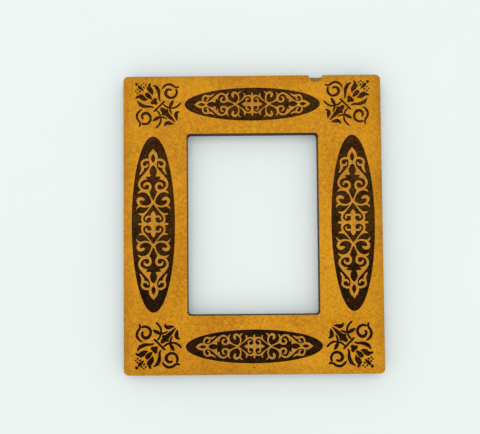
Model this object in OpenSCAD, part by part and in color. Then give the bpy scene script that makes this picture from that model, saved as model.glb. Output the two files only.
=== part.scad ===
// Magnetic embroidery hoop: two flat frames cut from hardboard that clamp cloth
// between rings of disc magnets. The front frame is an engraved face sheet glued to
// a magnet sheet, and the back frame is one magnet sheet. A fingertip notch through the
// front frame bares the back one, to part them. The hoop lies on its back: X runs across
// it, Y up it, Z out of its face, with the origin under its middle.

/* [Frames] */
// Width of both frames
frame_w = 155; // [149:1:175]
// Height of both frames
frame_h = 179; // [171:1:200]
// Width of the window
window_w = 79; // [60:1:85]
// Height of the window
window_h = 109; // [90:1:117]
// Radius of the frames' outer corners
corner_r = 3; // [0.5:0.5:8]
// Radius of the window's corners
window_r = 2; // [0.5:0.5:8]

/* [Sheets] */
// Thickness of the engraved face sheet
face_t = 3.2; // [2:0.1:6]
// How much thicker a magnet sheet is than its magnets
magnet_sink = 0.2; // [0.1:0.1:1]

/* [Magnets] */
// Diameter of each disc magnet
magnet_d = 10; // [4:0.5:16]
// Thickness of each disc magnet
magnet_t = 3; // [1.5:0.5:6]
// Glue gap around each magnet in its hole
magnet_gap = 0.1; // [0.05:0.05:0.3]
// Magnets along each side rail, with those at its corners
magnets_side = 4; // [2:1:6]
// Magnets along each end rail, with those at its corners
magnets_end = 3; // [2:1:5]

/* [Notch] */
// Radius of the half-round fingertip notch in the front frame's top edge
notch_r = 4; // [3:0.5:8]
// Bevel on each shoulder of the notch
notch_bevel = 0.5; // [0.1:0.1:1]
// Distance of the notch's middle from the hoop's centreline
notch_x = 38.5; // [-55:0.5:55]

/* [Engraving] */
// Depth that the laser burns away
engrave_depth = 0.3; // [0.1:0.1:1]
// Length of the oval on each side rail
side_oval_l = 105.5; // [60:0.5:120]
// Width of the oval on each side rail
side_oval_w = 26; // [12:0.5:29]
// Distance of the side ovals outside their rails' middle
side_oval_out = 1.2; // [-1:0.1:2]
// Length of the oval on each end rail
end_oval_l = 81.5; // [50:0.5:100]
// Width of the oval on each end rail
end_oval_w = 20; // [10:0.5:26]
// Distance of the end ovals outside their rails' middle
end_oval_out = 0.5; // [-1:0.1:2]

/* [Hidden] */
$fn = 96;
cut_over = 1;
magnet_sheet_t = magnet_t + magnet_sink;
rail_x = (frame_w + window_w) / 4;
rail_y = (frame_h + window_h) / 4;
back_z = 0;
joint_z = back_z + magnet_sheet_t;
face_z = joint_z + magnet_sheet_t;

hardboard = [0.79, 0.54, 0.14];
raw_hardboard = [0.66, 0.52, 0.35];
nickel = [0.78, 0.78, 0.80];

magnet_sites = concat(
    [for (side = [-1, 1], n = [0 : magnets_side - 1])
        [side * rail_x, rail_y * (1 - 2 * n / (magnets_side - 1))]],
    [for (end = [1, -1], n = [1 : 1 : magnets_end - 2])
        [rail_x * (2 * n / (magnets_end - 1) - 1), end * rail_y]]
);

function numbered(base, n) = str(base, n < 9 ? "0" : "", n + 1);

// A rectangle with round corners, centred on the origin.
module rounded_rectangle(w, h, r) {
    square([w - 2 * r, h], center = true);
    square([w, h - 2 * r], center = true);
    for (x = [-1, 1], y = [-1, 1])
        translate([x * (w / 2 - r), y * (h / 2 - r)])
            circle(r);
}

// The half-round notch centred on the origin, in an edge along X, with both of its
// shoulders bevelled at 45 degrees.
module notch_outline() {
    mouth_x = notch_r + notch_bevel + cut_over;
    floor_x = notch_r - notch_bevel;
    circle(notch_r);
    polygon([
        [-mouth_x, cut_over],
        [mouth_x, cut_over],
        [floor_x, -2 * notch_bevel],
        [-floor_x, -2 * notch_bevel],
    ]);
}

// One sheet as the laser cuts it, with its back on z = 0. Front sheets are notched.
module cut_sheet(t, notched) {
    difference() {
        linear_extrude(t)
            rounded_rectangle(frame_w, frame_h, corner_r);
        translate([0, 0, -cut_over])
            linear_extrude(t + 2 * cut_over) {
                rounded_rectangle(window_w, window_h, window_r);
                if (notched)
                    translate([notch_x, frame_h / 2])
                        notch_outline();
            }
    }
}

// A cut sheet with a through hole for every magnet.
module magnet_sheet(notched) {
    difference() {
        cut_sheet(magnet_sheet_t, notched);
        for (site = magnet_sites)
            translate([site[0], site[1], -cut_over])
                cylinder(h = magnet_sheet_t + 2 * cut_over, d = magnet_d + 2 * magnet_gap);
    }
}

// The burnt ground of one oval, of length l along Y and width w along X.
module oval_ground(l, w) {
    linear_extrude(engrave_depth + cut_over)
        scale([w / l, 1])
            circle(d = l);
}

// The front of the hoop, with its four oval grounds burnt in.
module front_face_sheet() {
    color(hardboard)
        translate([0, 0, face_z])
            difference() {
                cut_sheet(face_t, notched = true);
                for (side = [-1, 1])
                    translate([side * (rail_x + side_oval_out), 0, face_t - engrave_depth])
                        oval_ground(side_oval_l, side_oval_w);
                for (end = [-1, 1])
                    translate([0, end * (rail_y + end_oval_out), face_t - engrave_depth])
                        rotate([0, 0, 90])
                            oval_ground(end_oval_l, end_oval_w);
            }
}

// The sheet glued behind the face, which hides the front magnets.
module front_magnet_sheet() {
    color(raw_hardboard)
        translate([0, 0, joint_z])
            magnet_sheet(notched = true);
}

// The whole back frame.
module back_magnet_sheet() {
    color(raw_hardboard)
        translate([0, 0, back_z])
            magnet_sheet(notched = false);
}

module disc_magnet() {
    color(nickel)
        cylinder(h = magnet_t, d = magnet_d);
}

// A front magnet, glued up against the face sheet.
module front_magnet(site) {
    translate([site[0], site[1], face_z - magnet_t])
        disc_magnet();
}

// A back magnet, glued midway through the back sheet.
module back_magnet(site) {
    translate([site[0], site[1], back_z + magnet_sink / 2])
        disc_magnet();
}

front_face_sheet();
front_magnet_sheet();
back_magnet_sheet();
for (n = [0 : len(magnet_sites) - 1]) {
    front_magnet(magnet_sites[n]);
    back_magnet(magnet_sites[n]);
}
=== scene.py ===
"""A magnetic embroidery hoop lying on a pale floor. The face sheet's scrollwork and corner flowers are
burnt into its mesh. Every other part keeps its shape and gets a finish. Shapes are in mm until they are
placed, with the origin under the hoop's middle, X across it, Y up it and Z out of its face."""
import math

import bmesh
import bpy
import numpy as np
from mathutils import Matrix, Vector
from mathutils.geometry import delaunay_2d_cdt


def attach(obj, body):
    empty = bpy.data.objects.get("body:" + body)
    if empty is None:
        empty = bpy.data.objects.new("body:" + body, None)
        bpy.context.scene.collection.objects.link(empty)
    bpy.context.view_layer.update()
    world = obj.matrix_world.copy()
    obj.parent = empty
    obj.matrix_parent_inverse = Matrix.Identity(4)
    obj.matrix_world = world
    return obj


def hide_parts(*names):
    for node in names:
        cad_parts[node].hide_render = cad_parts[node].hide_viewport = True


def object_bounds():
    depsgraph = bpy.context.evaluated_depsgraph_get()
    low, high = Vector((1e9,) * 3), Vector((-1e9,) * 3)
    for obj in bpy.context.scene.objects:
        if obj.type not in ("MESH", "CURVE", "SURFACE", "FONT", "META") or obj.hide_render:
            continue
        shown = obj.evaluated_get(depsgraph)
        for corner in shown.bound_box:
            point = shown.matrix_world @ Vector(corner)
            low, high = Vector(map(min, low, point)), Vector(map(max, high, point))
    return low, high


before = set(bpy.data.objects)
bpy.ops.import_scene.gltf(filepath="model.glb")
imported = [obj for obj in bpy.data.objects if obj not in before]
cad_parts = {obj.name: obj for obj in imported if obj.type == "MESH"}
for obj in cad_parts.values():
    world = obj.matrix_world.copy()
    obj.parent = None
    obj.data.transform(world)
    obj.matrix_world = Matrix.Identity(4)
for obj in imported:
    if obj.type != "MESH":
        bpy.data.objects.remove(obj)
cad_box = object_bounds()

MM = 0.001

# Points closer than this are one point, and sizes and outlines keep to this many decimal places
TINY = 0.001
PLACES = 3

# The frames, three sheets thick
FRAME_W, FRAME_H, FACE_TOP = (round((high - low) / MM, PLACES) for low, high in zip(*cad_box))
CORNER_R = 3.0
WINDOW_W = 79.0
WINDOW_H = 109.0
WINDOW_R = 2.0
SHEET_T = FACE_TOP / 3

# The fingertip notch in the top edge
NOTCH_X = 38.5
NOTCH_R = 4.0
NOTCH_BEVEL = 0.5

# The rails' middle lines, and the magnets' holes on them
RAIL_X = (FRAME_W + WINDOW_W) / 4
RAIL_Y = (FRAME_H + WINDOW_H) / 4
HOLE_R = 5.1
HOLE_PITCH = 2 * RAIL_Y / 3

# The engraving: its depth, the ovals' sizes and middles at the sides and at the ends, half the side of the
# square round each corner flower, the flowers' middles, and the middles and radii of the register dot at the
# bottom edge and of a chip in the burnt ground
ENGRAVE_DEPTH = 0.3
SIDE_OVAL_L = 105.5
SIDE_OVAL_W = 26.0
SIDE_OVALS = ((59.9, 0.3), (-59.7, 0.3))
END_OVAL_L = 81.5
END_OVAL_W = 20.0
END_OVALS = ((0.2, 72.2), (0.1, -72.9))
FLOWER_TILE = 14.6
TOP_FLOWERS = ((-56.6, 71.9), (57.0, 72.4))
BOTTOM_FLOWERS = ((-56.9, -72.0), (56.9, -72.1))
REGISTER_DOT = (0.0, -85.3, 0.45)
CHIP = (56.1, -46.0, 0.35)

# How much wider than drawn the burn leaves the strokes that stand, and the flowers' strokes by the top
# edge and by the bottom edge
SCROLL_SPREAD = -0.1
TOP_SPREAD = 0.28
BOTTOM_SPREAD = 0.46
# A stroke thinner than the first of these is running to a point, and none is thinner than the second
POINTED = 0.4
THINNEST = 0.02
# Length of the short straight steps that make up a smooth line, and the points that make up the quarter
# turn of a rounded corner and the notch
STEP = 0.3
CORNER_POINTS = 17
NOTCH_POINTS = 33
# A round number above the count of the face sheet's points
MORE_THAN_POINTS = 100000

# One quadrant of the side ovals' scrollwork, left standing on the burnt ground, with x across the oval and
# y along it from its centre. A stroke is a smooth line through points of x, y and width.
SCROLL_STROKES = [
    # Round the small scroll by the tip
    [(1.2, 37.5, 1.7), (2.2, 38.35, 1.4), (3.3, 38.7, 1.4), (4.5, 38.65, 1.4), (5.75, 38.2, 1.4),
     (6.65, 37.3, 1.35), (6.95, 36.3, 1.4), (6.8, 35.3, 1.4), (6.0, 34.65, 1.35), (5.0, 34.4, 1.3),
     (4.1, 34.6, 1.25), (3.45, 35.2, 1.15), (3.35, 35.9, 0.95)],
    # The small scroll's tail
    [(6.7, 35.0, 1.4), (6.45, 33.9, 1.7), (6.4, 32.9, 1.7), (6.8, 31.9, 1.4), (7.35, 30.9, 1.1),
     (7.85, 30.1, 0.7), (8.2, 29.4, 0.0)],
    # The stem, and on round the great scroll
    [(1.1, 36.6, 2.1), (1.5, 35.6, 1.45), (1.75, 34.7, 1.1), (2.05, 33.7, 1.0), (2.65, 32.6, 1.15),
     (3.5, 31.4, 1.4), (4.5, 30.1, 1.6), (5.6, 28.8, 1.7), (6.7, 27.5, 1.7), (7.6, 26.3, 1.6),
     (8.2, 25.1, 1.45), (8.45, 23.9, 1.4), (8.25, 22.8, 1.45), (7.65, 21.7, 1.4), (6.8, 20.85, 1.45),
     (5.7, 20.2, 1.6), (4.6, 19.95, 1.7), (3.5, 20.0, 1.75), (2.6, 20.35, 1.7), (2.0, 21.15, 1.55),
     (1.75, 22.2, 1.55), (1.9, 23.25, 1.55), (2.55, 24.15, 1.55), (3.5, 24.5, 1.55), (4.5, 24.3, 1.5),
     (5.3, 23.7, 1.25), (5.5, 23.0, 0.95), (5.5, 22.6, 0.75)],
    # The leaf tip under the great scroll
    [(5.6, 19.9, 1.5), (6.8, 19.8, 1.35), (7.8, 19.55, 1.3), (8.5, 19.1, 1.0), (9.0, 18.6, 0.55),
     (9.3, 18.15, 0.0)],
    # Down to the crossing
    [(3.0, 19.8, 1.6), (2.8, 18.7, 1.4), (2.35, 17.7, 1.15), (1.8, 16.6, 1.0), (1.3, 15.4, 0.95),
     (0.85, 14.3, 1.1), (0.45, 13.4, 1.5), (0.0, 12.8, 1.8)],
    # From the crossing round the thick-headed scroll
    [(0.2, 12.7, 1.7), (1.2, 11.85, 1.3), (2.3, 11.15, 1.1), (3.4, 10.7, 1.05), (4.6, 10.5, 1.05),
     (5.8, 10.6, 1.25), (6.9, 10.95, 1.3), (7.9, 11.5, 1.45), (8.7, 12.4, 1.6), (9.15, 13.5, 1.8),
     (9.0, 14.5, 1.95), (8.35, 15.15, 2.1), (7.5, 15.35, 2.1), (6.6, 15.15, 1.9), (5.85, 14.8, 1.5)],
    # The leaf tip under the thick-headed scroll
    [(7.2, 11.0, 1.2), (8.2, 10.95, 1.2), (9.0, 10.55, 1.1), (9.55, 9.95, 0.9), (9.95, 9.25, 0.55),
     (10.15, 8.7, 0.0)],
    # From the crossing round the middle's curl
    [(0.5, 12.3, 1.1), (1.25, 11.2, 1.05), (1.9, 10.25, 0.9), (2.65, 9.2, 0.85), (3.4, 8.2, 0.9),
     (4.2, 7.3, 1.1), (5.0, 6.5, 1.3), (5.7, 5.7, 1.35), (6.25, 4.8, 1.25), (6.6, 3.8, 1.2),
     (6.7, 2.8, 1.3), (6.5, 1.9, 1.45), (6.0, 1.15, 1.6), (5.2, 0.6, 1.6), (4.2, 0.2, 1.5),
     (3.0, 0.0, 1.6), (2.0, 0.2, 2.0), (1.0, 0.5, 2.4)],
    # The leaf tip beside the middle
    [(5.3, 6.3, 1.3), (6.3, 5.9, 1.35), (7.2, 5.85, 1.3), (7.95, 6.05, 1.1), (8.5, 6.3, 0.65),
     (8.95, 6.65, 0.0)],
    # The arm on the oval's short axis
    [(5.5, 0.0, 1.6), (6.6, 0.0, 1.5), (7.5, 0.0, 1.55), (8.3, 0.0, 1.35), (8.9, 0.0, 0.7),
     (9.25, 0.0, 0.0)],
    # The bud and stalk on the oval's long axis
    [(0.0, 8.0, 0.0), (0.0, 7.3, 1.3), (0.0, 6.4, 2.5), (0.0, 5.6, 3.05), (0.0, 4.8, 3.1),
     (0.0, 3.8, 2.8), (0.0, 2.7, 2.6), (0.0, 1.6, 3.1), (0.0, 0.6, 3.6), (0.0, 0.0, 3.6)],
    # The curl beside the bud
    [(0.7, 4.45, 1.3), (1.6, 4.4, 1.2), (2.4, 4.55, 1.2), (3.2, 4.55, 1.25), (3.95, 4.15, 1.25),
     (4.35, 3.45, 1.2), (4.25, 2.8, 1.0)],
]
# Outlines of the parts of that quadrant that no stroke makes, as smooth runs that meet at corners
SCROLL_LEAVES = [
    # The pointed leaf at the tip
    [[(-0.2, 45.0), (0.0, 45.2), (0.8, 44.3), (1.6, 43.4), (2.2, 42.4), (2.62, 41.4), (2.8, 40.4),
      (2.8, 39.6), (2.75, 38.9)],
     [(2.75, 38.9), (2.3, 37.2), (2.0, 35.6), (1.75, 34.3)], [(1.75, 34.3), (1.4, 34.1)],
     [(1.4, 34.1), (1.0, 34.6), (0.5, 35.1), (0.0, 35.6), (-0.2, 35.8)]],
    # The two cusps inside the stem
    [[(1.75, 34.2), (2.0, 32.8), (2.15, 31.6), (2.1, 30.6), (1.85, 29.9), (1.3, 28.95)],
     [(1.3, 28.95), (2.2, 28.6), (3.2, 28.6), (4.1, 28.5), (4.4, 28.1), (4.2, 27.5), (3.45, 26.95)],
     [(3.45, 26.95), (4.4, 26.8), (5.3, 26.6), (6.1, 26.25), (6.8, 25.75), (7.35, 25.2)],
     [(7.35, 25.2), (7.8, 25.6)], [(7.8, 25.6), (2.4, 33.6)]],
    # The bend under the great scroll
    [[(2.7, 17.0), (3.2, 17.65), (3.85, 18.35), (4.6, 18.8), (5.4, 19.05), (6.3, 19.15)],
     [(6.3, 19.15), (4.4, 19.9), (2.5, 19.2)], [(2.5, 19.2), (2.3, 18.0)]],
]
# Outline of the burnt eye of the tip's leaf
SCROLL_EYE = [
    [(-0.2, 42.3), (0.0, 42.5), (0.6, 41.5), (1.1, 40.5), (1.3, 39.6), (1.22, 38.8), (0.9, 38.0),
     (0.45, 37.3), (0.0, 36.9), (-0.2, 36.75)],
]

# Half of the top right flower, burnt into the face, from its centre and above the diagonal in which it
# is mirrored
FLOWER_STROKES = [
    # The hook over the curl
    [(-2.05, 9.4, 0.0), (-2.7, 10.4, 0.75), (-3.6, 11.5, 1.05), (-4.8, 12.4, 1.2), (-6.2, 12.8, 1.2),
     (-7.6, 12.65, 1.2), (-8.8, 12.1, 1.15), (-9.7, 11.4, 1.05), (-10.7, 11.0, 0.9), (-11.6, 10.9, 0.95),
     (-12.3, 11.2, 0.8), (-12.85, 11.75, 0.0)],
    # The curl
    [(-10.95, 9.55, 0.95), (-11.2, 8.9, 1.1), (-11.3, 8.1, 1.2), (-11.15, 7.1, 1.2), (-10.65, 6.0, 1.25),
     (-9.8, 5.15, 1.25), (-8.6, 4.6, 1.25), (-7.3, 4.6, 1.25), (-6.1, 5.05, 1.35), (-5.1, 5.95, 1.5),
     (-4.6, 7.1, 1.6), (-4.7, 8.2, 1.6), (-5.4, 9.2, 1.4), (-6.4, 9.7, 1.2), (-7.3, 9.65, 1.15),
     (-7.9, 9.3, 0.9)],
    # The long petal, and the shoulder of its tip
    [(3.3, 12.6, 0.0), (2.6, 12.2, 0.6), (1.6, 11.6, 1.1), (0.7, 10.6, 1.7), (0.0, 9.5, 1.9),
     (-0.4, 8.4, 1.8), (-0.6, 7.2, 1.5), (-0.65, 6.0, 1.25), (-0.65, 4.8, 1.0), (-0.85, 3.8, 0.85),
     (-1.15, 3.0, 0.6), (-1.4, 2.4, 0.0)],
    [(0.2, 10.2, 1.3), (0.25, 10.95, 1.1), (0.2, 11.6, 0.6), (0.05, 12.0, 0.0)],
    # The short petal, and its second point
    [(3.45, 6.0, 0.0), (3.5, 7.0, 0.9), (4.0, 8.4, 2.35), (4.9, 9.7, 2.9), (5.3, 10.9, 2.2),
     (5.3, 12.1, 1.35), (4.8, 13.1, 0.9), (4.2, 13.7, 0.0)],
    [(5.5, 9.7, 1.8), (6.3, 10.4, 1.1), (6.65, 10.95, 0.5), (6.85, 11.4, 0.0)],
    # The bud
    [(4.1, 4.1, 0.8), (5.0, 5.0, 2.0), (5.9, 5.9, 2.6), (6.7, 6.7, 2.3)],
    # The stamens
    [(8.6, 8.6, 0.0), (9.3, 9.3, 0.9), (10.2, 10.2, 1.6), (10.9, 10.9, 1.9), (11.4, 11.4, 1.6)],
    [(8.2, 10.1, 0.0), (8.4, 10.7, 0.65), (8.7, 11.3, 0.65), (8.95, 11.9, 0.0)],
    # The bar across the stem
    [(-4.15, 2.85, 0.0), (-3.6, 2.3, 0.8), (-2.6, 1.3, 0.95), (-1.6, 0.3, 0.9), (-0.65, -0.65, 0.9)],
    # The thin stalk and its leaf
    [(-8.5, -5.8, 0.0), (-7.95, -4.8, 0.65), (-7.45, -3.6, 0.85), (-7.15, -2.5, 0.95), (-7.1, -1.3, 1.1),
     (-7.4, -0.2, 1.5), (-7.9, 0.7, 1.9), (-8.4, 1.7, 1.7), (-8.95, 2.6, 1.0), (-9.45, 3.4, 0.0)],
    # The tendrils on either side of the stalk
    [(-13.9, 1.8, 0.0), (-13.2, 0.9, 0.8), (-12.2, -0.1, 0.9), (-11.0, -1.0, 0.95), (-9.7, -1.5, 0.9),
     (-8.4, -1.65, 0.8), (-7.4, -1.5, 0.5)],
    [(-7.0, -1.3, 0.6), (-5.7, -1.1, 0.75), (-4.7, -0.6, 0.85), (-3.85, 0.1, 0.8), (-3.25, 0.7, 0.4)],
    # The broad leaf at the stem's foot
    [(-11.4, -9.6, 0.0), (-11.2, -8.5, 0.9), (-11.0, -7.3, 1.7), (-10.75, -6.2, 2.15), (-10.85, -5.2, 2.0),
     (-11.4, -4.4, 1.4), (-12.2, -4.0, 0.8), (-13.1, -4.1, 0.0)],
    # The heart
    [(1.4, 1.4, 1.9), (2.3, 2.3, 2.8)],
    [(1.9, 2.4, 1.5), (1.7, 3.45, 2.0)],
]
FLOWER_DOTS = [(7.6, 12.45, 0.42), (8.75, 13.5, 0.35), (9.9, 12.5, 0.4), (12.95, 12.95, 0.8)]
# Half of the outline of the flower's stem and calyx, from the top of the diagonal to its foot
FLOWER_STEM = [
    [(-1.5, -1.5), (-1.95, -1.2), (-2.7, -1.25), (-3.4, -1.5), (-4.0, -1.95), (-4.5, -2.25), (-5.1, -2.2),
     (-5.75, -1.9)],
    [(-5.75, -1.9), (-6.15, -2.65), (-6.2, -3.45), (-6.4, -4.2), (-7.0, -5.05), (-7.7, -5.95),
     (-8.4, -6.85), (-9.1, -7.85), (-9.75, -8.9), (-10.3, -9.75), (-10.5, -10.5)],
]

# Places in the list of the face sheet's materials
FACE, SMOKED, BURNT, CUT = range(4)

# How far the edges of the magnet sheets and of the magnets are rounded
SHEET_EASE = 0.12
MAGNET_EASE = 0.3

# Colours as they are on screen, each value from 0 to 255
FACE_LIGHT = (230, 156, 25)
FACE_DEEP = (173, 103, 0)
BOARD_LIGHT = (184, 148, 102)
BOARD_DEEP = (152, 118, 78)
# The brown of the soft band along the rim, partly smoke stain and partly painted shade
SMOKE_AND_SHADE_BROWN = (120, 74, 20)
SCORCH_BROWN = (52, 28, 10)
SMOKE_FILM = (72, 74, 80)
UPPER_GROUND_LIGHT = (81, 50, 14)
UPPER_GROUND_DEEP = (32, 19, 5)
LOWER_GROUND_LIGHT = (55, 33, 10)
LOWER_GROUND_DEEP = (16, 9, 2)
CHIP_COLOUR = (160, 128, 74)
EDGE_LIGHT = (58, 39, 22)
EDGE_DEEP = (17, 10, 6)
SEAM_COLOUR = (10, 6, 4)
NICKEL_LIGHT = (222, 220, 216)
NICKEL_DEEP = (196, 194, 190)
FLOOR_LIGHT = (239, 245, 243)
FLOOR_DEEP = (234, 241, 239)
WORLD_COLOUR = (250, 252, 252)
# The colour in which the world shows, which is the far floor's
SEEN_COLOUR = (220, 228, 226)

# The direction of the board's grain, and the tint of its greener patches
GRAIN_TURN = math.radians(25)
GREENER = (0.93, 1.05, 0.7, 1.0)
# How far the soft band of smoke stain and painted shade browns a sheet from its rim, and how far each cut
# scorches it, in mm
SMOKE_AND_SHADE_REACH = 8.0
SCORCH_REACH = 0.15
# The burnt ground turns from its lower to its upper colours between these places up the sheet
GROUND_TURN = (-45.0, 8.0)
# The film of smoke on the scrollwork thins between these places up the sheet, from the first of these
# amounts to the second
FILM_THINS = (-80.0, -40.0)
FILM_AMOUNTS = (0.2, 0.12)
# How far apart in the noise the edges of two sheets lie, so that they aren't alike
SHEET_SHIFT = 37.0

# The camera, as far above the floor and turned as the photograph's was: its place in mm, and the axis
# about which it is turned, as long as the angle in radians
FOCAL_PX = 700.0
IMAGE_W_PX = 480
SENSOR_W = 36.0
CAMERA_PLACE = (-6.718, -15.007, 428.356)
CAMERA_TURN = (0.04556, 0.00272, -0.00879)
# The nearest and the farthest that it sees, in metres
CAMERA_RANGE = (0.01, 50.0)
# The soft lamp overhead: its place and size in metres, and its power in watts
KEY_PLACE = (-0.05, 0.18, 1.3)
KEY_SIZE = 1.0
KEY_POWER = 4.1
# How strongly the world lights the scene
WORLD_LEVEL = 0.85
# Half the floor's side in metres, and how far in mm it lies below the hoop
FLOOR_HALF = 4.0
FLOOR_DROP = 0.05


def smooth(points):
    """Points close together on a centripetal Catmull-Rom curve through the points, with widths if the
    points have them."""
    points = np.array(points, float)
    if len(points) == 2:
        return points
    ends = np.vstack([2 * points[0] - points[1], points, 2 * points[-1] - points[-2]])
    line = [points[0]]
    for a, b, c, d in zip(ends, ends[1:], ends[2:], ends[3:]):
        t0 = 0.0
        t1 = t0 + math.sqrt(math.dist(a[:2], b[:2]))
        t2 = t1 + math.sqrt(math.dist(b[:2], c[:2]))
        t3 = t2 + math.sqrt(math.dist(c[:2], d[:2]))
        pieces = max(1, round(math.dist(b[:2], c[:2]) / STEP))
        for k in range(1, pieces + 1):
            t = t1 + (t2 - t1) * k / pieces
            ab = ((t1 - t) * a + (t - t0) * b) / (t1 - t0)
            bc = ((t2 - t) * b + (t - t1) * c) / (t2 - t1)
            cd = ((t3 - t) * c + (t - t2) * d) / (t3 - t2)
            abc = ((t2 - t) * ab + (t - t0) * bc) / (t2 - t0)
            bcd = ((t3 - t) * bc + (t - t1) * cd) / (t3 - t1)
            line.append(((t2 - t) * abc + (t - t1) * bcd) / (t2 - t1))
    return np.array(line)


def disc(x, y, r, scale_y=1.0):
    """A round outline, or an oval one."""
    sides = 4 * max(4, round(math.pi * r / (2 * STEP)))
    turns = np.arange(sides) * 2 * math.pi / sides
    return np.column_stack([x + r * np.cos(turns), y + r * scale_y * np.sin(turns)])


def stroke(points, spread):
    """A stroke as outlines: a quad for each step along it, and a disc at each end that isn't a point. The
    stroke is wider than its points say by the spread, and less so where it runs to a point."""
    line = smooth(points)
    widths = line[:, 2:] + spread * np.minimum(line[:, 2:] / POINTED, 1)
    widths = np.maximum(widths, THINNEST)
    ahead = np.gradient(line[:, :2], axis=0)
    ahead /= np.linalg.norm(ahead, axis=1)[:, None]
    aside = np.column_stack([-ahead[:, 1], ahead[:, 0]]) * widths / 2
    left = line[:, :2] + aside
    right = line[:, :2] - aside
    cells = [np.array(corners) for corners in zip(left, right, right[1:], left[1:])]
    cells += [disc(line[end, 0], line[end, 1], widths[end, 0] / 2) for end in (0, -1)
              if widths[end, 0] > POINTED / 2]
    return cells


def outline(runs):
    """A closed outline of smooth runs that meet at corners."""
    return np.vstack([smooth(run)[:-1] for run in runs] + [runs[-1][-1:]])


def rounded_rectangle(w, h, r):
    """A rectangle's outline with round corners, centred on the origin."""
    arc = np.linspace(0, math.pi / 2, CORNER_POINTS)
    corners = []
    for n, (x, y) in enumerate(((1, 1), (-1, 1), (-1, -1), (1, -1))):
        turns = arc + n * math.pi / 2
        corners.append(np.column_stack([x * (w / 2 - r) + r * np.cos(turns),
                                        y * (h / 2 - r) + r * np.sin(turns)]))
    return np.vstack(corners)


def frame_outline():
    """The front frame's outer outline, with the notch and its bevelled shoulders in the top edge."""
    shoulder = NOTCH_R + NOTCH_BEVEL
    # How far down the bevel meets the round
    down = (shoulder - math.sqrt(2 * NOTCH_R ** 2 - shoulder ** 2)) / 2
    turn = math.asin(down / NOTCH_R)
    arc = np.linspace(-turn, turn - math.pi, NOTCH_POINTS)
    notch = np.vstack([[shoulder, 0.0],
                       np.column_stack([np.cos(arc), np.sin(arc)]) * NOTCH_R,
                       [-shoulder, 0.0]]) + (NOTCH_X, FRAME_H / 2)
    corners = rounded_rectangle(FRAME_W, FRAME_H, CORNER_R)
    top_right = len(corners) // 4
    return np.vstack([corners[:top_right], notch, corners[top_right:]])


def inside(loops, spots):
    """Whether each of the spots lies inside one of the loops."""
    found = np.zeros(len(spots), bool)
    for loop in loops:
        near = np.nonzero(((spots > loop.min(0)) & (spots < loop.max(0))).all(1))[0]
        x, y = spots[near].T
        hit = np.zeros(len(near), bool)
        for (ax, ay), (bx, by) in zip(loop, np.roll(loop, -1, 0)):
            if ay != by:
                hit ^= ((ay > y) != (by > y)) & (x < (bx - ax) * (y - ay) / (by - ay) + ax)
        found[near] |= hit
    return found


def triangulate(loops):
    """The points and triangles of a flat mesh that has every side of the loops as an edge, and the
    triangles' middles."""
    points = []
    sides = []
    for loop in loops:
        first = len(points)
        points += [Vector(p) for p in np.round(loop, PLACES)]
        sides += [(first + k, first + (k + 1) % len(loop)) for k in range(len(loop))]
    points, _, triangles, _, _, _ = delaunay_2d_cdt(points, sides, [], 0, TINY / 10, False)
    points = np.array([tuple(p) for p in points])
    triangles = np.array([list(t) for t in triangles])
    return points, triangles, points[triangles].mean(1)


def mirrored(loops, *turns):
    """The loops after each of the turns, which are 2 x 2 matrices."""
    return [loop @ np.array(turn, float).T for turn in turns for loop in loops]


def scroll_oval():
    """A side oval about the origin: its border, its points and triangles, and each triangle's material."""
    quarters = [((x, 0), (0, y)) for x in (1, -1) for y in (1, -1)]
    border = disc(0.0, 0.0, SIDE_OVAL_W / 2, SIDE_OVAL_L / SIDE_OVAL_W)
    standing = [cell for points in SCROLL_STROKES for cell in stroke(points, SCROLL_SPREAD)]
    standing += [outline(runs) for runs in SCROLL_LEAVES]
    standing = mirrored(standing, *quarters)
    eyes = mirrored([outline(SCROLL_EYE)], *quarters)
    points, triangles, middles = triangulate([border] + standing + eyes)
    within = inside([border], middles)
    burnt = ~inside(standing, middles) | inside(eyes, middles)
    return border, points, triangles[within], np.where(burnt, BURNT, SMOKED)[within]


def corner_flower(spread):
    """The top right flower about its own centre, its strokes widened by the spread: its tile's border,
    points and triangles, and each triangle's material."""
    halves = (((1, 0), (0, 1)), ((0, 1), (1, 0)))
    border = np.array([(-1, -1), (1, -1), (1, 1), (-1, 1)]) * FLOWER_TILE
    cut = [cell for points in FLOWER_STROKES for cell in stroke(points, spread)]
    cut += [disc(x, y, r + spread / 2) for x, y, r in FLOWER_DOTS]
    stem = outline(FLOWER_STEM)
    cut = mirrored(cut, *halves) + [np.vstack([stem, stem[-2:0:-1, ::-1]])]
    points, triangles, middles = triangulate([border] + cut)
    return border, points, triangles, np.where(inside(cut, middles), BURNT, FACE)


def placed(area, turn, place):
    """An area of the engraving after a turn, which is a 2 x 2 matrix, and a move to its place."""
    border, points, triangles, materials = area
    turn = np.array(turn, float).T
    return border @ turn + place, points @ turn + place, triangles, materials


def engraved_areas():
    """The four ovals and the four corner flowers, each with its border, points, triangles and materials."""
    oval = scroll_oval()
    along = ((1, 0), (0, 1))
    # The end ovals are the side oval made smaller and turned a quarter
    across = ((0, -END_OVAL_L / SIDE_OVAL_L), (END_OVAL_W / SIDE_OVAL_W, 0))
    areas = [placed(oval, along, place) for place in SIDE_OVALS]
    areas += [placed(oval, across, place) for place in END_OVALS]
    for places, spread in ((TOP_FLOWERS, TOP_SPREAD), (BOTTOM_FLOWERS, BOTTOM_SPREAD)):
        flower = corner_flower(spread)
        for x, y in places:
            outward = ((math.copysign(1, x), 0), (0, math.copysign(1, y)))
            areas.append(placed(flower, outward, (x, y)))
    return areas


def plain_area(borders):
    """The face outside the engraved areas' borders: its points, triangles and their materials."""
    rim = frame_outline()
    window = rounded_rectangle(WINDOW_W, WINDOW_H, WINDOW_R)
    dot = disc(*REGISTER_DOT)
    points, triangles, middles = triangulate([rim, window, dot] + borders)
    within = inside([rim], middles) & ~inside([window] + borders, middles)
    return points, triangles[within], np.where(inside([dot], middles), BURNT, FACE)[within]


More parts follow.
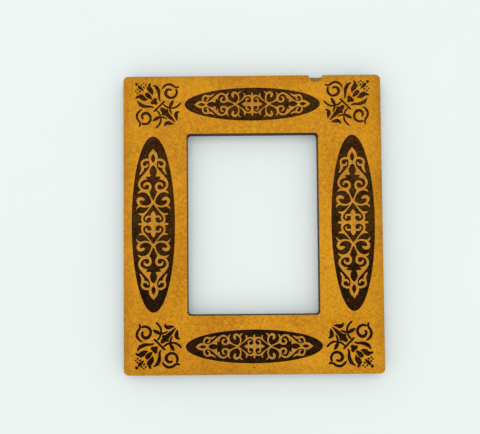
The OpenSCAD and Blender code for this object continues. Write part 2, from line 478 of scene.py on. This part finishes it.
def flat_face():
    """The whole face as a flat mesh, with every side of the engraving as an edge."""
    flat = bmesh.new()
    areas = engraved_areas()
    cells = [area[1:] for area in areas] + [plain_area([area[0] for area in areas])]
    for points, triangles, materials in cells:
        verts = [flat.verts.new((x, y, 0)) for x, y in points]
        for corners, material in zip(triangles, materials):
            flat.faces.new([verts[k] for k in corners]).material_index = material
    bmesh.ops.remove_doubles(flat, verts=flat.verts, dist=TINY)
    bmesh.ops.delete(flat, geom=[v for v in flat.verts if not v.link_faces], context="VERTS")
    bmesh.ops.recalc_face_normals(flat, faces=flat.faces)
    if sum(face.normal.z for face in flat.faces) < 0:
        bmesh.ops.reverse_faces(flat, faces=flat.faces)
    return flat


def sink_burnt_ground(sheet):
    """Lowers the burnt faces by the engraving's depth, and walls them in."""
    burnt = [face for face in sheet.faces if face.material_index == BURNT]
    sunk = bmesh.ops.extrude_face_region(sheet, geom=burnt)["geom"]
    for piece in sunk:
        if isinstance(piece, bmesh.types.BMVert):
            piece.co.z = -ENGRAVE_DEPTH
    bmesh.ops.delete(sheet, geom=burnt, context="FACES")
    for face in sheet.faces:
        if min(v.co.z for v in face.verts) < max(v.co.z for v in face.verts):
            face.material_index = BURNT


def add_sides_and_back(sheet):
    """Drops the sheet's cut sides from its open edges to its back, and closes the back."""
    edges = [edge for edge in sheet.edges if edge.is_boundary]
    sides = bmesh.ops.extrude_edge_only(sheet, edges=edges)["geom"]
    for piece in sides:
        if isinstance(piece, bmesh.types.BMFace):
            piece.material_index = CUT
        if isinstance(piece, bmesh.types.BMVert):
            piece.co.z = -SHEET_T
    edges = [edge for edge in sheet.edges if edge.is_boundary]
    bmesh.ops.triangle_fill(sheet, use_beauty=True, edges=edges)
    bmesh.ops.recalc_face_normals(sheet, faces=sheet.faces)


def place_in_order(face):
    """A number to sort the faces by, made of the three lowest numbers of the face's corners."""
    first, second, third = sorted(v.index for v in face.verts)[:3]
    return (first * MORE_THAN_POINTS + second) * MORE_THAN_POINTS + third


def face_sheet_mesh():
    """The face sheet, with the engraving burnt into its face."""
    sheet = flat_face()
    sink_burnt_ground(sheet)
    add_sides_and_back(sheet)
    # The walls are made in an order that changes from run to run
    sheet.verts.index_update()
    sheet.faces.sort(key=place_in_order)
    sheet.transform(Matrix.Scale(MM, 4) @ Matrix.Translation((0, 0, FACE_TOP)))
    mesh = bpy.data.meshes.new("engraved_face_sheet")
    sheet.to_mesh(mesh)
    sheet.free()
    return mesh


def node(tree, kind, inputs=(), **settings):
    """A new shader node with its settings, and with each input set to a value or linked to a socket."""
    made = tree.nodes.new("ShaderNode" + kind)
    for name, value in settings.items():
        setattr(made, name, value)
    for name, value in dict(inputs).items():
        if isinstance(value, bpy.types.NodeSocket):
            tree.links.new(value, made.inputs[name])
        else:
            made.inputs[name].default_value = value
    return made


def math_node(tree, operation, *values):
    """The result of a math node."""
    return node(tree, "Math", enumerate(values), operation=operation).outputs[0]


def vector_node(tree, operation, *values):
    """The result of a vector math node."""
    made = node(tree, "VectorMath", enumerate(values), operation=operation)
    return made.outputs["Value" if operation == "LENGTH" else "Vector"]


def ramp(tree, value, low, high, to_low=0.0, to_high=1.0):
    """The value as it runs smoothly from to_low at low to to_high at high."""
    made = node(tree, "MapRange", {"Value": value, "From Min": low, "From Max": high,
                                   "To Min": to_low, "To Max": to_high}, interpolation_type="SMOOTHSTEP")
    return made.outputs["Result"]


def noise(tree, where, scale, detail=3.0, roughness=0.5, stretch=(1.0, 1.0, 1.0), turn=0.0):
    """Noise with features about 1 / scale mm across, narrower along an axis that is stretched, and turned
    about Z before the stretch."""
    spot = node(tree, "VectorRotate", {"Vector": where, "Angle": turn}).outputs[0]
    spot = node(tree, "Mapping", {"Vector": spot, "Scale": stretch}).outputs[0]
    made = node(tree, "TexNoise", {"Vector": spot, "Scale": scale, "Detail": detail,
                                   "Roughness": roughness})
    return made.outputs["Fac"]


def blend(tree, amount, first, second, how="MIX"):
    """Two colours mixed."""
    made = node(tree, "Mix", {0: amount, 6: first, 7: second}, data_type="RGBA", blend_type=how)
    return made.outputs[2]


def axis(tree, vector, letter):
    """The vector's coordinate along X, Y or Z."""
    return node(tree, "SeparateXYZ", {"Vector": vector}).outputs[letter]


def srgb(colour):
    """A shader's colour from its values on screen."""
    return tuple((v / 255 / 12.92) if v <= 10 else ((v / 255 + 0.055) / 1.055) ** 2.4
                 for v in colour) + (1.0,)


def new_material(name):
    """A new material's node tree, its Principled shader, and the place on the surface in mm."""
    made = bpy.data.materials.new(name)
    made.use_nodes = True
    tree = made.node_tree
    shader = tree.nodes["Principled BSDF"]
    spot = node(tree, "TexCoord").outputs["Object"]
    where = node(tree, "Mapping", {"Vector": spot, "Scale": (1 / MM, 1 / MM, 1 / MM)}).outputs[0]
    return made, tree, shader, where


def flattened(tree, where):
    """The place on the surface without its height."""
    return vector_node(tree, "MULTIPLY", where, (1, 1, 0))


def from_rectangle(tree, folded, w, h, r):
    """Distance in mm outside a rectangle with round corners, of a place folded into one quadrant."""
    past = vector_node(tree, "SUBTRACT", folded, (w / 2 - r, h / 2 - r, 0))
    within = math_node(tree, "MAXIMUM", axis(tree, past, "X"), axis(tree, past, "Y"))
    away = vector_node(tree, "LENGTH", vector_node(tree, "MAXIMUM", past, (0, 0, 0)))
    away = math_node(tree, "ADD", away, math_node(tree, "MINIMUM", within, 0.0))
    return math_node(tree, "SUBTRACT", away, r)


def from_round(tree, spot, centre, r):
    """Distance in mm outside a circle."""
    away = vector_node(tree, "LENGTH", vector_node(tree, "SUBTRACT", spot, (*centre, 0)))
    return math_node(tree, "SUBTRACT", away, r)


def cut_distances(tree, where, holes):
    """Distances in mm from the frame's rim and from the nearest cut: the rim, the window and either the
    notch or a magnet sheet's holes."""
    flat = flattened(tree, where)
    folded = vector_node(tree, "ABSOLUTE", flat)
    rim = math_node(tree, "MULTIPLY", from_rectangle(tree, folded, FRAME_W, FRAME_H, CORNER_R), -1.0)
    cuts = [from_rectangle(tree, folded, WINDOW_W, WINDOW_H, WINDOW_R)]
    if holes:
        refolded = vector_node(tree, "ABSOLUTE", vector_node(tree, "SUBTRACT", folded, (0, HOLE_PITCH, 0)))
        cuts.append(from_round(tree, refolded, (RAIL_X, HOLE_PITCH / 2), HOLE_R))
        cuts.append(from_round(tree, folded, (0, RAIL_Y), HOLE_R))
    else:
        cuts.append(from_round(tree, flat, (NOTCH_X, FRAME_H / 2), NOTCH_R))
    nearest = rim
    for cut in cuts:
        nearest = math_node(tree, "MINIMUM", nearest, cut)
    return rim, nearest


def hardboard(tree, where, light, deep):
    """The mottled colour of pressed wood fibre between a light and a deep tone, and its height."""
    patches = noise(tree, where, 0.03, 2.0)
    mottle = noise(tree, where, 0.4, 3.0, 0.6)
    grain = noise(tree, where, 1.0, 3.0, 0.7, (0.5, 1.1, 1.0), GRAIN_TURN)
    fibres = noise(tree, where, 1.0, 3.0, 0.7, (1.1, 0.5, 1.0), GRAIN_TURN)
    tone = math_node(tree, "MULTIPLY_ADD", patches, 0.45, math_node(tree, "MULTIPLY", mottle, 0.35))
    tone = math_node(tree, "MULTIPLY_ADD", grain, 0.75, tone)
    tone = math_node(tree, "MULTIPLY_ADD", fibres, 0.75, tone)
    colour = blend(tree, ramp(tree, tone, 0.8, 1.5), deep, light)
    hue = ramp(tree, noise(tree, where, 0.5, 4.0, 0.65), 0.35, 0.65)
    colour = blend(tree, hue, blend(tree, 1.0, colour, GREENER, "MULTIPLY"), colour)
    height = math_node(tree, "MULTIPLY_ADD", fibres, 0.6, math_node(tree, "MULTIPLY", grain, 0.4))
    return colour, height


def bump(tree, shader, height, depth):
    """Gives the shader a relief of that depth in mm."""
    made = node(tree, "Bump", {"Height": height, "Strength": 1.0, "Distance": depth * MM})
    tree.links.new(made.outputs[0], shader.inputs["Normal"])


def charred(tree, where):
    """The colour and height of a laser-cut edge, streaked from top to bottom of each sheet and darkest at
    the seams between sheets."""
    up = math_node(tree, "DIVIDE", axis(tree, where, "Z"), SHEET_T)
    shift = math_node(tree, "MULTIPLY", math_node(tree, "FLOOR", up), SHEET_SHIFT)
    shift = node(tree, "CombineXYZ", {"X": shift}).outputs[0]
    spot = vector_node(tree, "ADD", where, shift)
    streaks = noise(tree, spot, 1.6, 4.0, 0.6, (1.0, 1.0, 0.08))
    soot = noise(tree, spot, 0.25, 3.0, 0.55)
    tone = math_node(tree, "MULTIPLY_ADD", streaks, 0.7, math_node(tree, "MULTIPLY", soot, 0.5))
    colour = blend(tree, ramp(tree, tone, 0.42, 0.8), srgb(EDGE_DEEP), srgb(EDGE_LIGHT))
    past_middle = math_node(tree, "SUBTRACT", math_node(tree, "FRACT", up), 0.5)
    seam = ramp(tree, math_node(tree, "ABSOLUTE", past_middle), 0.42, 0.5, 0.0, 0.8)
    return blend(tree, seam, colour, srgb(SEAM_COLOUR)), streaks


def scorched_and_shaded(tree, where, colour, holes):
    """The colour browned: a thin dark scorch line at each cut, and a soft band along the rim that is partly
    smoke stain and partly painted shade.
    """
    rim, nearest = cut_distances(tree, where, holes)
    ragged = math_node(tree, "MULTIPLY_ADD", noise(tree, where, 0.5, 3.0), 0.8, 0.6)
    # The band along the rim is partly smoke stain and partly painted shade, darkest at the rim
    band = ramp(tree, math_node(tree, "DIVIDE", rim, ragged), 0.0, SMOKE_AND_SHADE_REACH, 0.22, 0.0)
    line = ramp(tree, math_node(tree, "DIVIDE", nearest, ragged), 0.0, SCORCH_REACH, 0.85, 0.0)
    return blend(tree, line, blend(tree, band, colour, srgb(SMOKE_AND_SHADE_BROWN)), srgb(SCORCH_BROWN))


def face_material(name, film):
    """The face's golden board, under a film of smoke or without one."""
    made, tree, shader, where = new_material(name)
    colour, height = hardboard(tree, where, srgb(FACE_LIGHT), srgb(FACE_DEEP))
    colour = scorched_and_shaded(tree, where, colour, False)
    if film:
        amount = ramp(tree, axis(tree, where, "Y"), *FILM_THINS, *FILM_AMOUNTS)
        colour = blend(tree, amount, colour, srgb(SMOKE_FILM))
    tree.links.new(colour, shader.inputs["Base Color"])
    tree.links.new(ramp(tree, height, 0.3, 0.7, 0.42, 0.58), shader.inputs["Roughness"])
    shader.inputs["Specular IOR Level"].default_value = 0.1
    bump(tree, shader, height, 0.04)
    return made


def burnt_material():
    """The engraving's charred ground, in the fine lines that the laser drew, with a pale chip in it."""
    made, tree, shader, where = new_material("burnt_ground")
    streaks = noise(tree, where, 1.0, 4.0, 0.7, (0.6, 1.2, 1.0))
    patches = noise(tree, where, 0.12, 3.0)
    tone = math_node(tree, "MULTIPLY_ADD", streaks, 1.0, math_node(tree, "MULTIPLY", patches, 0.3))
    tone = ramp(tree, tone, 0.5, 0.8)
    upper = blend(tree, tone, srgb(UPPER_GROUND_DEEP), srgb(UPPER_GROUND_LIGHT))
    lower = blend(tree, tone, srgb(LOWER_GROUND_DEEP), srgb(LOWER_GROUND_LIGHT))
    colour = blend(tree, ramp(tree, axis(tree, where, "Y"), *GROUND_TURN), lower, upper)
    lines = node(tree, "TexWave", {"Vector": where, "Scale": 1.2, "Distortion": 0.6, "Detail": 1.0},
                 wave_type="BANDS", bands_direction="Y").outputs["Fac"]
    chip = ramp(tree, from_round(tree, flattened(tree, where), CHIP[:2], CHIP[2]), -0.3, 0.1, 1.0, 0.0)
    tree.links.new(blend(tree, chip, colour, srgb(CHIP_COLOUR)), shader.inputs["Base Color"])
    tree.links.new(ramp(tree, streaks, 0.3, 0.7, 0.75, 0.95), shader.inputs["Roughness"])
    shader.inputs["Specular IOR Level"].default_value = 0.02
    bump(tree, shader, math_node(tree, "MULTIPLY_ADD", lines, 0.5, streaks), 0.06)
    return made


def cut_material():
    """The face sheet's laser-cut edges."""
    made, tree, shader, where = new_material("charred_edge")
    colour, height = charred(tree, where)
    tree.links.new(colour, shader.inputs["Base Color"])
    tree.links.new(ramp(tree, height, 0.3, 0.7, 0.6, 0.85), shader.inputs["Roughness"])
    shader.inputs["Specular IOR Level"].default_value = 0.3
    bump(tree, shader, height, 0.06)
    return made


def sheet_material():
    """A whole magnet sheet: plain board on its flats, and charred on its cut edges."""
    made, tree, shader, where = new_material("plain_hardboard")
    colour, height = hardboard(tree, where, srgb(BOARD_LIGHT), srgb(BOARD_DEEP))
    colour = scorched_and_shaded(tree, where, colour, True)
    edge_colour, edge_height = charred(tree, where)
    facing = node(tree, "TexCoord").outputs["Normal"]
    upright = math_node(tree, "ABSOLUTE", axis(tree, facing, "Z"))
    flat = ramp(tree, upright, 0.45, 0.55)
    tree.links.new(blend(tree, flat, edge_colour, colour), shader.inputs["Base Color"])
    tree.links.new(ramp(tree, height, 0.3, 0.7, 0.55, 0.75), shader.inputs["Roughness"])
    shader.inputs["Specular IOR Level"].default_value = 0.25
    relief = node(tree, "Mix", {0: flat, 2: edge_height, 3: height}, data_type="FLOAT").outputs[0]
    bump(tree, shader, relief, 0.05)
    return made


def nickel_material():
    """The magnets' bright plating, a little smudged and scratched."""
    made, tree, shader, where = new_material("nickel_plate")
    smudges = noise(tree, where, 0.25, 3.0, 0.6)
    scratches = noise(tree, where, 1.5, 4.0, 0.7, (1.0, 12.0, 1.0))
    colour = blend(tree, ramp(tree, smudges, 0.35, 0.7), srgb(NICKEL_DEEP), srgb(NICKEL_LIGHT))
    tree.links.new(colour, shader.inputs["Base Color"])
    shader.inputs["Metallic"].default_value = 1.0
    rough = math_node(tree, "MULTIPLY_ADD", smudges, 0.25, math_node(tree, "MULTIPLY", scratches, 0.15))
    tree.links.new(ramp(tree, rough, 0.1, 0.35, 0.16, 0.38), shader.inputs["Roughness"])
    bump(tree, shader, scratches, 0.001)
    return made


def floor_material():
    """A plain pale floor."""
    made, tree, shader, where = new_material("pale_floor")
    tone = noise(tree, where, 0.01, 3.0)
    colour = blend(tree, tone, srgb(FLOOR_DEEP), srgb(FLOOR_LIGHT))
    tree.links.new(colour, shader.inputs["Base Color"])
    shader.inputs["Roughness"].default_value = 0.9
    shader.inputs["Specular IOR Level"].default_value = 0.1
    return made


def add_camera():
    """The camera from which the photograph was taken."""
    data = bpy.data.cameras.new("camera")
    data.sensor_width = SENSOR_W
    data.lens = FOCAL_PX / IMAGE_W_PX * SENSOR_W
    data.clip_start, data.clip_end = CAMERA_RANGE
    camera = bpy.data.objects.new("camera", data)
    bpy.context.scene.collection.objects.link(camera)
    turn = Vector(CAMERA_TURN)
    place = Matrix.Translation(Vector(CAMERA_PLACE) * MM)
    camera.matrix_world = place @ Matrix.Rotation(turn.length, 4, turn)
    bpy.context.scene.camera = camera


def add_lamp(name, place, size, power):
    """A square soft lamp that faces the hoop's middle."""
    data = bpy.data.lights.new(name, "AREA")
    data.size = size
    data.energy = power
    lamp = bpy.data.objects.new(name, data)
    bpy.context.scene.collection.objects.link(lamp)
    lamp.location = place
    lamp.rotation_euler = Vector(place).to_track_quat("Z", "Y").to_euler()


def add_floor():
    """A square floor just below the hoop."""
    mesh = bpy.data.meshes.new("floor")
    corners = [(x * FLOOR_HALF, y * FLOOR_HALF, -FLOOR_DROP * MM)
               for x, y in ((-1, -1), (1, -1), (1, 1), (-1, 1))]
    mesh.from_pydata(corners, [], [(0, 1, 2, 3)])
    mesh.materials.append(floor_material())
    floor = bpy.data.objects.new("floor", mesh)
    bpy.context.scene.collection.objects.link(floor)


def set_world():
    """An even pale light from all round, which shows in the far floor's colour."""
    world = bpy.data.worlds.new("world")
    bpy.context.scene.world = world
    world.use_nodes = True
    tree = world.node_tree
    back = tree.nodes["Background"]
    path = node(tree, "LightPath")
    seen = math_node(tree, "MAXIMUM", path.outputs["Is Camera Ray"], path.outputs["Is Glossy Ray"])
    seen = math_node(tree, "MAXIMUM", seen, path.outputs["Is Transmission Ray"])
    tree.links.new(blend(tree, seen, srgb(WORLD_COLOUR), srgb(SEEN_COLOUR)), back.inputs["Color"])
    tree.links.new(ramp(tree, seen, 0.0, 1.0, WORLD_LEVEL, 1.0), back.inputs["Strength"])


add_camera()
set_world()
add_lamp("key", KEY_PLACE, KEY_SIZE, KEY_POWER)
add_floor()
bpy.context.scene.view_settings.view_transform = "Standard"

# The engraved face sheet
sheet = bpy.data.objects.new("engraved_face_sheet", face_sheet_mesh())
bpy.context.scene.collection.objects.link(sheet)
for finish in (face_material("golden_hardboard", False), face_material("smoked_hardboard", True),
               burnt_material(), cut_material()):
    sheet.data.materials.append(finish)
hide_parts("front_face_sheet")
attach(sheet, "front_half")

# The finishes of the parts that keep their own shape
plain_board = sheet_material()
nickel = nickel_material()
for name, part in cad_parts.items():
    is_sheet = name.endswith("_sheet")
    part.data.materials.clear()
    part.data.materials.append(plain_board if is_sheet else nickel)
    weld = part.modifiers.new("weld", "WELD")
    weld.merge_threshold = TINY * MM
    rim = part.modifiers.new("rim", "BEVEL")
    rim.width = (SHEET_EASE if is_sheet else MAGNET_EASE) * MM
    rim.segments = 2
    rim.limit_method = "ANGLE"
